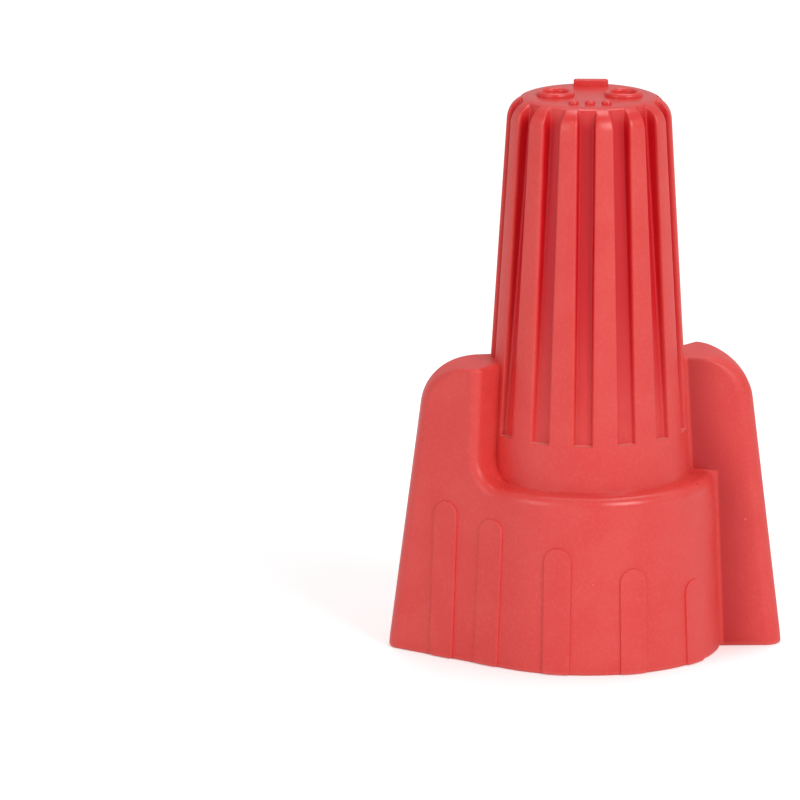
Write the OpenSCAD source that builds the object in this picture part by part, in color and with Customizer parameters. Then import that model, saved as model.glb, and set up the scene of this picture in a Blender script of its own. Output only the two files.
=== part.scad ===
// Winged twist-on wire connector: a moulded shell and the square-wire spring inside it.
// Millimetres. The mouth lies on z = 0, centred on the Z axis, and the closed tip points up (+Z).

/* [Skirt] */
// Outer diameter of the skirt at the mouth
skirt_od = 15.7; // [13:0.1:19]
// Height of the skirt from the mouth to its shoulder
skirt_h = 10; // [8:0.1:12.5]
// Wall between the skirt and the mouth bore
skirt_wall = 1.3; // [1:0.05:1.6]
// Taper of the skirt and of the wing faces, in degrees
skirt_taper = 2.6; // [0:0.1:4]
// Radius of the rounded shoulder edge
shoulder_r = 0.9; // [0.2:0.05:1.3]
// Width of the shoulder, from the skirt's edge in to the barrel
shoulder_w = 1.4; // [1.1:0.05:1.8]

/* [Barrel] */
// Overall height from the mouth to the flat tip, without the marks
overall_h = 32.4; // [27:0.1:39]
// Taper of the barrel, in degrees
barrel_taper = 3.4; // [2.6:0.1:4.1]
// Radius of the rounded tip edge
tip_edge_r = 1.4; // [0.8:0.1:1.8]

/* [Grip flutes] */
// Number of flutes around the barrel
flute_count = 14; // [10:2:16]
// Width of one flute
flute_w = 1; // [0.7:0.05:1.2]
// Height of the smooth band between the shoulder and the flutes
flute_band_h = 3; // [2:0.1:4]
// Depth of a flute at its ledge
flute_depth_low = 0.35; // [0.2:0.05:0.5]
// Depth of a flute at the tip
flute_depth_tip = 0.8; // [0.5:0.05:0.9]

/* [Wings] */
// How far a wing tip stands out from the skirt
wing_out = 3.55; // [2.5:0.05:4.3]
// Height of the wings
wing_h = 17.1; // [14.5:0.1:20]
// Lean of a wing's outer edge, in degrees
wing_lean = 6.5; // [4:0.5:8]
// Radius of a wing's upper outer corner
wing_corner_r = 3; // [2:0.1:4]
// Radius of a wing's rounded outer edge
wing_edge_r = 1.2; // [0.9:0.05:1.4]
// How far the flat wing face lies outside the skirt
flat_lift = 0.15; // [0:0.05:0.3]
// Angle from the middle of the flat face to the notch behind the wing
notch_spread = 56.6; // [50:0.2:62]
// Length of flat face that is cut away beside the barrel, above the skirt
relief_w = 2.5; // [1.5:0.1:3.2]

/* [Skirt pads] */
// Width of one raised pad
pad_w = 1.6; // [1.2:0.1:2]
// How far a pad stands out
pad_lift = 0.15; // [0.1:0.05:0.25]
// Height of the pad next to a notch
pad_first_h = 4.9; // [4:0.1:6]
// How much taller each next pad is
pad_step_h = 1.15; // [0.5:0.05:1.2]

/* [Mouth bore] */
// Depth of the smooth lead-in at the mouth
lead_h = 1.75; // [1.2:0.05:2.2]
// Number of ridges that grip the cable jackets
ridge_count = 7; // [4:1:7]
// Distance from one ridge to the next
ridge_pitch = 0.95; // [0.8:0.01:1.14]
// How far a ridge stands in from the bore
ridge_lift = 0.18; // [0.1:0.02:0.3]

/* [Spring] */
// Side of the square spring wire
wire_side = 0.75; // [0.6:0.05:0.9]
// Distance between neighbouring coils
coil_pitch = 1.2; // [1.15:0.05:1.45]
// Distance from the throat's rings up to the middle of the lowest, free coil
spring_lead = 0.8; // [0.65:0.05:1.5]
// Wall left between the spring chamber and the flutes
chamber_wall = 0.95; // [0.8:0.05:1.2]
// Gap between the seated coils and the chamber
seat_gap = 0.05; // [0.02:0.01:0.1]
// Extra gap that lets the free coils open over the wires
live_gap = 0.45; // [0.3:0.05:0.6]
// How far the free end flares out of that gap
flare_out = 0.3; // [0:0.05:0.3]

/* [Tip marks] */
// How far the marks stand up from the flat tip
mark_lift = 0.4; // [0.2:0.05:0.5]

/* [Hidden] */
$fn = 96;
big = 60;

// Directions of the features around the axis, in degrees from +X.
notch_turn = -4.5;
wing_turn = notch_turn + notch_spread;
flute_turn = -93;

// Skirt and barrel.
skirt_r = skirt_od / 2;
shoulder_outer_r = skirt_r - skirt_h * tan(skirt_taper);
barrel_r = shoulder_outer_r - shoulder_w;
shoulder_edge_r = min(shoulder_r, shoulder_w);
flute_start = skirt_h + flute_band_h;
function barrel_radius(z) = barrel_r - (z - skirt_h) * tan(barrel_taper);
tip_r = barrel_radius(overall_h - tip_edge_r);
function flute_depth(z) =
    flute_depth_low + (flute_depth_tip - flute_depth_low)
    * (z - flute_start) / (overall_h - flute_start);
function flute_floor(z) = barrel_radius(z) - flute_depth(z);
flute_lean = atan((flute_floor(flute_start) - flute_floor(overall_h))
                  / (overall_h - flute_start));

// Wing plan, in a frame whose +X is square to the flat face and whose -Y runs to the wing's tip.
flat_x = skirt_r + flat_lift;
edge_x = flat_x - wing_edge_r;
edge_y = -sqrt(pow(skirt_r + wing_out - wing_edge_r, 2) - pow(edge_x, 2));
edge_turn = atan2(edge_y, edge_x);
notch_x = skirt_r * cos(notch_spread);
notch_y = -skirt_r * sin(notch_spread);
// The back face leaves the notch as a tangent to the rounded outer edge.
back_turn = atan2(edge_y - notch_y, edge_x - notch_x)
    - asin(wing_edge_r / norm([edge_x - notch_x, edge_y - notch_y]));

// Pads: those on the round part, as angles from the notch, then the one on the flat face.
pad_turns = [30.5, 63.8, 97.1, 130.4];
flat_pad_y = -4.4;
pad_root = 1;
function pad_h(i) = pad_first_h + i * pad_step_h;
flat_pad_h = skirt_h - pad_w / 2;

// Cavity, from the mouth up. The funnel joins the wide mouth to the narrow throat.
mouth_r = skirt_r - skirt_wall;
bore_taper = skirt_taper;
ridge_top = lead_h + ridge_count * ridge_pitch;
function bore_radius(z) = mouth_r - max(0, z - lead_h) * tan(bore_taper) - ridge_lift;
throat_wall = 1.15;
throat_r = barrel_r - throat_wall;
throat_z = skirt_h + 0.6;
throat_ring_count = 3;
throat_ring_pitch = 0.5;
throat_ring_lift = 0.12;
throat_top = throat_z + throat_ring_count * throat_ring_pitch;

// Spring chamber and spring. The coils near the tip are seated, and the lower ones are free.
tip_wall = 2.2;
chamber_top = overall_h - tip_wall;
function chamber_radius(z) = flute_floor(max(z, flute_start)) - chamber_wall;
half_diag = wire_side * sqrt(2) / 2;
spring_start = throat_top + spring_lead;
coil_top = chamber_top - half_diag - seat_gap;
turns = (coil_top - spring_start) / coil_pitch;
seated_turns = 2.5;
flare_turns = 0.75;
steps_per_turn = 32;

// 0 below a, 1 above b, and an even ramp between.
function ramp(a, b, x) = min(1, max(0, (x - a) / (b - a)));

// Middle of the wire after t turns from the free end: it flares there and is seated near the tip.
function coil_z(t) = spring_start + t * coil_pitch;
function coil_gap(t) =
    seat_gap + (live_gap - flare_out * ramp(flare_turns, 0, t)) * ramp(0, 1, turns - seated_turns - t);
function coil_radius(t) = chamber_radius(coil_z(t) + half_diag) - half_diag - coil_gap(t);

// Square wire wound edge-on: its corners point in, down, out and up.
function wire_ring(t) = [
    for (corner = [180, 270, 0, 90])
        let (reach = coil_radius(t) + half_diag * cos(corner))
        [reach * cos(360 * t), reach * sin(360 * t), coil_z(t) + half_diag * sin(corner)]
];

module wound_wire() {
    rings = ceil(turns * steps_per_turn);
    points = [for (i = [0:rings]) each wire_ring(turns * i / rings)];
    sides = [
        for (i = [0:rings - 1])
            for (k = [0:3])
                let (a = 4 * i + k, b = 4 * i + (k + 1) % 4)
                each [[a, b + 4, b], [a, a + 4, b + 4]]
    ];
    last = 4 * rings;
    start_cap = [[0, 1, 2], [0, 2, 3]];
    end_cap = [[last, last + 2, last + 1], [last, last + 3, last + 2]];
    polyhedron(points, concat(sides, start_cap, end_cap), convexity = 10);
}

// Quarter-round points about a centre, from one angle to another.
function arc(cx, cy, r, from, to, steps) = [
    for (i = [0:steps])
        let (a = from + (to - from) * i / steps)
        [cx + r * cos(a), cy + r * sin(a)]
];
edge_steps = 8;

module skirt_body() {
    rotate_extrude()
        polygon(concat(
            [[0, 0], [skirt_r, 0]],
            arc(shoulder_outer_r - shoulder_edge_r, skirt_h - shoulder_edge_r,
                shoulder_edge_r, 0, 90, edge_steps),
            [[0, skirt_h]]
        ));
}

// One flute runs up the barrel in the +X direction, from its ledge to the tip.
module flute() {
    intersection() {
        translate([flute_floor(flute_start), -flute_w / 2, flute_start])
            rotate([0, -flute_lean, 0])
                translate([0, 0, -flute_w])
                    cube([skirt_od, flute_w, big]);
        translate([0, -flute_w, flute_start]) cube([skirt_od, 2 * flute_w, big]);
    }
}

module barrel_body() {
    difference() {
        rotate_extrude()
            polygon(concat(
                [[0, 0], [barrel_r, 0], [barrel_r, skirt_h]],
                arc(tip_r - tip_edge_r, overall_h - tip_edge_r, tip_edge_r,
                    barrel_taper, 90, edge_steps),
                [[0, overall_h]]
            ));
        for (i = [0:flute_count - 1]) rotate(flute_turn + i * 360 / flute_count) flute();
    }
}

// Plan of a wing: from the axis, along the flat face, round the outer edge and back to the notch.
module wing_plan() {
    polygon(concat(
        [[0, 0], [flat_x, 0]],
        arc(edge_x, edge_y, wing_edge_r, 0, back_turn - 90, 2 * edge_steps),
        [[notch_x, notch_y]]
    ));
}

// Side view of a wing, as distance from the axis and height: its outer edge leans in to the corner.
module wing_side() {
    foot = skirt_r + wing_out;
    corner_x = foot - (wing_h - wing_corner_r) * tan(wing_lean) - wing_corner_r / cos(wing_lean);
    polygon(concat(
        [[0, 0], [foot, 0]],
        arc(corner_x, wing_h - wing_corner_r, wing_corner_r, wing_lean, 90, edge_steps),
        [[0, wing_h]]
    ));
}

module wing() {
    difference() {
        intersection() {
            linear_extrude(wing_h) wing_plan();
            rotate(edge_turn)
                rotate([90, 0, 0])
                    linear_extrude(2 * skirt_od, center = true) wing_side();
            // The flat face tapers like the skirt.
            translate([flat_x, 0, 0])
                rotate([0, -skirt_taper, 0])
                    translate([-big, -big / 2, -big / 2]) cube([big, big, big]);
        }
        // Above the skirt the flat face stops short of the barrel.
        translate([0, -relief_w, skirt_h]) cube(big);
    }
}

// Upright pad outline with a round top. Its foot starts below the rim and is trimmed there.
module pad_outline(height) {
    translate([-pad_w / 2, -pad_root]) square([pad_w, height - pad_w / 2 + pad_root]);
    translate([0, height - pad_w / 2]) circle(pad_w / 2);
}

module round_pads() {
    intersection() {
        cylinder(h = skirt_h, r1 = skirt_r + pad_lift, r2 = shoulder_outer_r + pad_lift);
        for (i = [0:len(pad_turns) - 1])
            rotate(notch_turn - pad_turns[i] + 90)
                rotate([90, 0, 0])
                    linear_extrude(skirt_od) pad_outline(pad_h(i));
    }
}

module flat_pad() {
    rotate(wing_turn)
        intersection() {
            translate([flat_x, flat_pad_y, 0])
                rotate([0, -skirt_taper, 0])
                    rotate([90, 0, 90])
                        translate([0, 0, -pad_root])
                            linear_extrude(pad_root + pad_lift) pad_outline(flat_pad_h);
            translate([0, -big, 0]) cube(big);
        }
}

module tip_marks() {
    ring_r = 1.1;
    ring_w = 0.35;
    ring_x = 1.95;
    bar = [2, 0.5];
    bar_y = 2.7;
    stud_r = 0.28;
    stud_gap = 0.95;
    stud_y = -2.5;
    sink = 0.3;
    translate([0, 0, overall_h - sink]) {
        for (side = [-1, 1])
            translate([side * ring_x, 0, 0])
                difference() {
                    cylinder(h = sink + mark_lift, r = ring_r);
                    cylinder(h = big, r = ring_r - ring_w);
                }
        translate([-bar[0] / 2, bar_y - bar[1] / 2, 0]) cube([bar[0], bar[1], sink + mark_lift]);
        for (i = [-1:1])
            translate([i * stud_gap, stud_y, 0]) cylinder(h = sink + mark_lift, r = stud_r);
    }
}

// The hollow: lead-in, jacket ridges, funnel, ringed throat and spring chamber, as one profile.
module cavity() {
    rotate_extrude()
        polygon(concat(
            [[0, -1], [mouth_r, -1], [mouth_r, lead_h]],
            [
                for (i = [0:ridge_count - 1])
                    let (z = lead_h + i * ridge_pitch)
                    each [
                        [bore_radius(z), z],
                        [bore_radius(z + ridge_pitch) + ridge_lift, z + ridge_pitch]
                    ]
            ],
            [[bore_radius(ridge_top), ridge_top], [throat_r, throat_z]],
            [
                for (i = [0:throat_ring_count - 1])
                    let (z = throat_z + i * throat_ring_pitch)
                    each [[throat_r - throat_ring_lift, z], [throat_r, z + throat_ring_pitch]]
            ],
            [
                [chamber_radius(flute_start), throat_top],
                [chamber_radius(flute_start), flute_start],
                [chamber_radius(chamber_top), chamber_top],
                [0, chamber_top]
            ]
        ));
}

module shell() {
    color("#e2504c")
        difference() {
            union() {
                skirt_body();
                barrel_body();
                for (side = [0, 180]) {
                    rotate(side + wing_turn) wing();
                    rotate(side) round_pads();
                    rotate(side) flat_pad();
                }
                tip_marks();
            }
            cavity();
        }
}

module spring() {
    color("#c9ccd0") wound_wire();
}

shell();
spring();
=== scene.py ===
"""Winged twist-on wire connector: the looks of its moulded shell and its square-wire spring.

The CAD model is the fixed frame. Sizes are millimetres, and each finished mesh is scaled to metres
once. The mouth lies on z = 0 and the closed tip points up.
"""

import functools
import logging
import math
from collections.abc import Callable, Sequence
from dataclasses import dataclass, field
from enum import Enum

import bpy
import numpy as np
from mathutils import Euler, Matrix, Vector


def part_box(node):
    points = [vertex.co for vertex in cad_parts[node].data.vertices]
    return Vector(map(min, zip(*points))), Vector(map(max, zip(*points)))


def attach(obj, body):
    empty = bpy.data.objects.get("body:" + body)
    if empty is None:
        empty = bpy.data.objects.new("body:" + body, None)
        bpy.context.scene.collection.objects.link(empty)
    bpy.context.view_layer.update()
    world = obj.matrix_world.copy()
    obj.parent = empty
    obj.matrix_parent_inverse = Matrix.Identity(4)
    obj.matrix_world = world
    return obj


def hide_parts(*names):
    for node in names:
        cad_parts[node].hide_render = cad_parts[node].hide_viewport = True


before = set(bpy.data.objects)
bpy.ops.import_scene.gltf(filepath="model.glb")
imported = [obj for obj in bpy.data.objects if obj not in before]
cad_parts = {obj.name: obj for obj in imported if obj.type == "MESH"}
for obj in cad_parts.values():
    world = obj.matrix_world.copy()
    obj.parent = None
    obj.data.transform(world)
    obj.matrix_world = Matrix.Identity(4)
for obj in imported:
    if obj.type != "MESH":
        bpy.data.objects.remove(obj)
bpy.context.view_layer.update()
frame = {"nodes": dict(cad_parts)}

LOG = logging.getLogger("connector")
MM = 0.001
TURN = 2 * math.pi

# Turns points by half a turn about the axis.
HALF_TURN = np.array([-1, -1, 1])

Array = np.ndarray
Place = tuple[float, float, float]
Colour = tuple[float, float, float, float]


class Slot(Enum):
    """Names of the CAD nodes that the pieces stand in for."""

    SHELL = "shell"
    SPRING = "spring"


class Join(Enum):
    """Ways to combine two closed solids."""

    UNION = "UNION"
    CUT = "DIFFERENCE"


# --- Surfaces ---------------------------------------------------------------------------------


@dataclass
class Surface:
    """A closed surface as vertices in millimetres and faces that point outwards."""

    verts: Array
    quads: Array
    tris: Array = field(default_factory=lambda: np.zeros((0, 3), int))

    def outward(self) -> "Surface":
        """Turns the faces round if the signed volume is negative.

        The volume is the sum of the tetrahedra from the origin to each triangle.

        Returns:
            The surface with outward faces.
        """
        halves = [self.quads[:, [0, 1, 2]], self.quads[:, [0, 2, 3]], self.tris]
        corners = self.verts[np.concatenate(halves)]
        volume = np.einsum("ij,ij->", corners[:, 0], np.cross(corners[:, 1], corners[:, 2]))
        if volume < 0:
            return Surface(self.verts, self.quads[:, ::-1], self.tris[:, ::-1])
        return self


def band_faces(rows: int, columns: int, wrap_rows: bool) -> Array:
    """Quads between neighbouring points of a grid that closes on itself along its columns.

    Args:
        rows: Number of rows.
        columns: Number of columns.
        wrap_rows: Whether the last row joins the first.

    Returns:
        Index rows of four.
    """
    low = np.arange(rows if wrap_rows else rows - 1)[:, None]
    here = np.arange(columns)[None, :]
    high, there = (low + 1) % rows, (here + 1) % columns
    corners = [(low, here), (low, there), (high, there), (high, here)]
    return np.stack([row * columns + column for row, column in corners], axis=-1).reshape(-1, 4)


def capped_grid(grid: Array, first: Sequence[float], last: Sequence[float]) -> Surface:
    """Closes a grid of rows with one pole before its first row and one after its last.

    Args:
        grid: Points, rows by columns by 3.
        first: Pole joined to the first row.
        last: Pole joined to the last row.

    Returns:
        The closed surface.
    """
    rows, columns = grid.shape[:2]
    here = np.arange(columns)
    there = (here + 1) % columns
    start, end, top = rows * columns, rows * columns + 1, (rows - 1) * columns
    tris = np.concatenate([
        np.stack([np.full(columns, start), there, here], axis=1),
        np.stack([np.full(columns, end), top + here, top + there], axis=1),
    ])
    verts = np.concatenate([grid.reshape(-1, 3), [first, last]])
    return Surface(verts, band_faces(rows, columns, False), tris).outward()


def revolve(profile: Array, steps: int) -> Array:
    """Carries a profile of (radius, height) points round the axis: x = r cos a, y = r sin a.

    Args:
        profile: Points of the profile.
        steps: Number of columns round the axis.

    Returns:
        Grid of points, one row for each profile point.
    """
    angle = np.arange(steps) * TURN / steps
    radius, height = profile[:, :1], profile[:, 1:]
    return np.stack(
        [radius * np.cos(angle), radius * np.sin(angle), height + 0 * angle], axis=-1
    )


def rounded_path(points: Array, radii: Array, steps: int, closed: bool) -> Array:
    """Rounds each corner of a path with an arc that touches both of its sides.

    The arc's centre lies on the corner's bisector at radius / sin(half angle), and its points
    turn evenly from one touching point to the other.

    Args:
        points: Corners of the path.
        radii: Arc radius of each corner.
        steps: Number of steps in an arc.
        closed: Whether the last corner joins the first. An open path keeps its two ends.

    Returns:
        Points of the rounded path.
    """
    back = np.roll(points, 1, axis=0) - points
    ahead = np.roll(points, -1, axis=0) - points
    back /= np.linalg.norm(back, axis=1, keepdims=True)
    ahead /= np.linalg.norm(ahead, axis=1, keepdims=True)
    half = np.arccos(np.clip((back * ahead).sum(1), -1, 1))[:, None] / 2
    bisector = back + ahead
    bisector /= np.linalg.norm(bisector, axis=1, keepdims=True)
    centre = points + bisector * radii[:, None] / np.sin(half)
    reach = radii[:, None] / np.tan(half)
    start, end = points + back * reach - centre, points + ahead * reach - centre
    sweep = math.pi - 2 * half[:, None]
    share = np.linspace(0, 1, steps + 1)[None, :, None]
    arcs = (
        np.sin((1 - share) * sweep) * start[:, None] + np.sin(share * sweep) * end[:, None]
    ) / np.sin(sweep) + centre[:, None]
    if closed:
        return arcs.reshape(-1, 2)
    return np.concatenate([points[:1], arcs[1:-1].reshape(-1, 2), points[-1:]])


def evenly(path: Array, count: int) -> Array:
    """Points at equal distances along a closed path, by linear interpolation of its length.

    Args:
        path: Points of the path.
        count: Number of points wanted.

    Returns:
        The points.
    """
    loop = np.concatenate([path, path[:1]])
    length = np.concatenate([[0], np.cumsum(np.linalg.norm(np.diff(loop, axis=0), axis=1))])
    at = np.arange(count) * length[-1] / count
    return np.stack([np.interp(at, length, loop[:, k]) for k in range(2)], axis=1)


def smooth_step(x: Array) -> Array:
    """0 below 0, 1 above 1, and 3x^2 - 2x^3 between."""
    x = np.clip(x, 0, 1)
    return x * x * (3 - 2 * x)


def lerp(a: Array, b: Array, share: Array) -> Array:
    """The value that lies this share of the way from a to b."""
    return a + (b - a) * share


def quarter_turn(way: Array) -> Array:
    """A direction in the plane, turned by a quarter turn: (x, y) becomes (-y, x)."""
    return np.array([-way[1], way[0]])


def stretch(u: Array, v: Array, z: Array) -> Array:
    """Points of one stretch of every row, from values that are spread to a common shape."""
    return np.stack(np.broadcast_arrays(u, v, z), axis=-1)


def boss(
    outline: Array, lift: float, edge: float, sink: float, place: Callable[[Array, Array], Array]
) -> Surface:
    """A low raised plate: an outline carried up a wall, over a rounded edge and in to its middle.

    Args:
        outline: Closed outline in the plate's own plane.
        lift: Height of the plate over the surface that it stands on.
        edge: Radius of its rounded edge.
        sink: Depth of its foot under that surface.
        place: Takes plane points and their heights over the surface and gives 3-D points.

    Returns:
        The closed plate.
    """
    middle = (outline.min(0) + outline.max(0)) / 2
    along = np.roll(outline, -1, axis=0) - np.roll(outline, 1, axis=0)
    normal = np.stack([along[:, 1], -along[:, 0]], axis=1)
    normal /= np.linalg.norm(normal, axis=1, keepdims=True)
    bend = np.linspace(0, math.pi / 2, 5)
    inset = np.concatenate([[0, 0], edge * (1 - np.cos(bend[1:])), [edge * 1.4]])
    height = np.concatenate([[-sink, lift - edge], lift - edge + edge * np.sin(bend[1:]), [lift]])
    rim = outline[None] - inset[:, None, None] * normal[None]
    inner = lerp(rim[-1][None], middle, np.linspace(0, 1, 7)[1:-1, None, None])
    plane = np.concatenate([rim, inner])
    heights = np.concatenate([height, np.full(len(inner), lift)])
    grid = place(plane, np.broadcast_to(heights[:, None], plane.shape[:2]))
    poles = place(np.array([[middle, middle]]), np.array([[-sink, lift]]))[0]
    return capped_grid(grid, poles[0], poles[1])


# --- Solids in Blender ------------------------------------------------------------------------


def solid(name: str, surface: Surface) -> bpy.types.Object:
    """Puts a surface into a mesh object in millimetres.

    Args:
        name: Name of the object.
        surface: The closed surface.

    Returns:
        The new object.
    """
    mesh = bpy.data.meshes.new(name)
    mesh.from_pydata(surface.verts.tolist(), [], surface.quads.tolist() + surface.tris.tolist())
    mesh.update()
    obj = bpy.data.objects.new(name, mesh)
    bpy.context.scene.collection.objects.link(obj)
    return obj


def combine(base: bpy.types.Object, tools: Sequence[bpy.types.Object], how: Join) -> None:
    """Joins solids to a base or cuts them from it, and removes them.

    Args:
        base: Object that is changed.
        tools: Solids to join or cut.
        how: Whether they are joined or cut.
    """
    for tool in tools:
        step = base.modifiers.new(how.name, "BOOLEAN")
        step.operation, step.solver, step.object = how.value, "MANIFOLD", tool
    depsgraph = bpy.context.evaluated_depsgraph_get()
    mesh = bpy.data.meshes.new_from_object(base.evaluated_get(depsgraph))
    base.modifiers.clear()
    base.data = mesh
    for tool in tools:
        bpy.data.objects.remove(tool)


def finish_mesh(obj: bpy.types.Object, sharp_angle: float) -> None:
    """Scales a mesh to metres and shades it smooth, with edges sharper than an angle kept crisp.

    Each corner's normal is the mean of its faces' normals, weighted by their areas.

    Args:
        obj: Object whose mesh is in millimetres.
        sharp_angle: Angle between two faces above which their edge stays crisp.
    """
    obj.data.transform(Matrix.Scale(MM, 4))
    obj.data.shade_smooth()
    obj.data.set_sharp_from_angle(angle=sharp_angle)
    step = obj.modifiers.new("normals", "WEIGHTED_NORMAL")
    step.keep_sharp = True
    depsgraph = bpy.context.evaluated_depsgraph_get()
    mesh = bpy.data.meshes.new_from_object(obj.evaluated_get(depsgraph))
    obj.modifiers.clear()
    obj.data = mesh


# --- Shell ------------------------------------------------------------------------------------


@dataclass
class ShellFrame:
    """Main sizes of the shell, in millimetres. The CAD model's box gives the first three.

    Attributes:
        overall_h: Height of the tip under its marks.
        wing_reach: Distance from the axis to the wings' outer edges, at the mouth.
        skirt_r: Radius of the skirt at the mouth.
        mark_lift: Height of the tallest mark on the tip.
        pad_room: What the pads add to the skirt in the depth of the box.
        flute_low: Depth of the flutes where they start.
        flute_tip: Their depth at the tip.
        chamber_wall: Wall between the flutes' floor and the spring chamber.
        tip_wall: Wall between the chamber's end and the tip.
        wing_turn: Turn of the wing coordinates about the axis.
        flat_lift: What a wing's flat face stands off the skirt at flat_length along it.
    """

    overall_h: float
    wing_reach: float
    skirt_r: float
    mark_lift: float = 0.4
    pad_room: float = 0.11
    skirt_h: float = 10.35
    skirt_slope: float = math.tan(math.radians(2.6))
    barrel_foot_r: float = 5.996
    barrel_foot_z: float = 10.0
    barrel_slope: float = math.tan(math.radians(3.4))
    flute_start: float = 13.0
    flute_low: float = 0.35
    flute_tip: float = 0.8
    chamber_wall: float = 0.95
    tip_wall: float = 2.2
    wing_turn: float = math.radians(52.1)
    flat_lift: float = 0.15
    flat_length: float = 7.6

    @classmethod
    def from_cad(cls) -> "ShellFrame":
        """Reads the box: its top is the marks, its width the wings and its depth the skirt's pads.

        Returns:
            The sizes.
        """
        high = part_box("shell")[1] / MM
        return cls(high.z - cls.mark_lift, high.x, high.y - cls.pad_room)

    @property
    def flat_slope(self) -> float:
        """How much the wing's flat face stands off for each millimetre towards the tip."""
        return self.flat_lift / self.flat_length

    def skirt_radius(self, z: Array) -> Array:
        """Radius of the tapered skirt: a straight line that falls with height."""
        return self.skirt_r - z * self.skirt_slope

    def barrel_radius(self, z: Array) -> Array:
        """Radius of the tapered barrel: a straight line from the shoulder's inner edge."""
        return self.barrel_foot_r - (z - self.barrel_foot_z) * self.barrel_slope

    def flute_floor(self, z: Array) -> Array:
        """Radius of the flutes' floor: the barrel's less a depth that grows evenly to the tip."""
        share = (z - self.flute_start) / (self.overall_h - self.flute_start)
        return self.barrel_radius(z) - lerp(self.flute_low, self.flute_tip, share)

    def chamber_radius(self, z: Array) -> Array:
        """Radius of the spring chamber: an even wall inside the flutes' floor."""
        return self.flute_floor(np.maximum(z, self.flute_start)) - self.chamber_wall

    def flat_u(self, v: Array, z: Array) -> Array:
        """A wing's flat face: it leans like the skirt and stands off it more towards the tip."""
        return self.skirt_radius(z) + self.flat_lift * v / self.flat_length

    def world(self, u: Array, v: Array, z: Array) -> Array:
        """Turns wing coordinates into the frame: x = u cos w + v sin w, y = u sin w - v cos w.

        Args:
            u: Distance from the axis, square to the wing's flat face.
            v: Distance along that face, towards the wing's tip.
            z: Height.

        Returns:
            Points in the frame, where w is the wing's turn.
        """
        c, s = math.cos(self.wing_turn), math.sin(self.wing_turn)
        u, v, z = np.broadcast_arrays(u, v, z)
        return np.stack([u * c + v * s, u * s - v * c, z], axis=-1)


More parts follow.
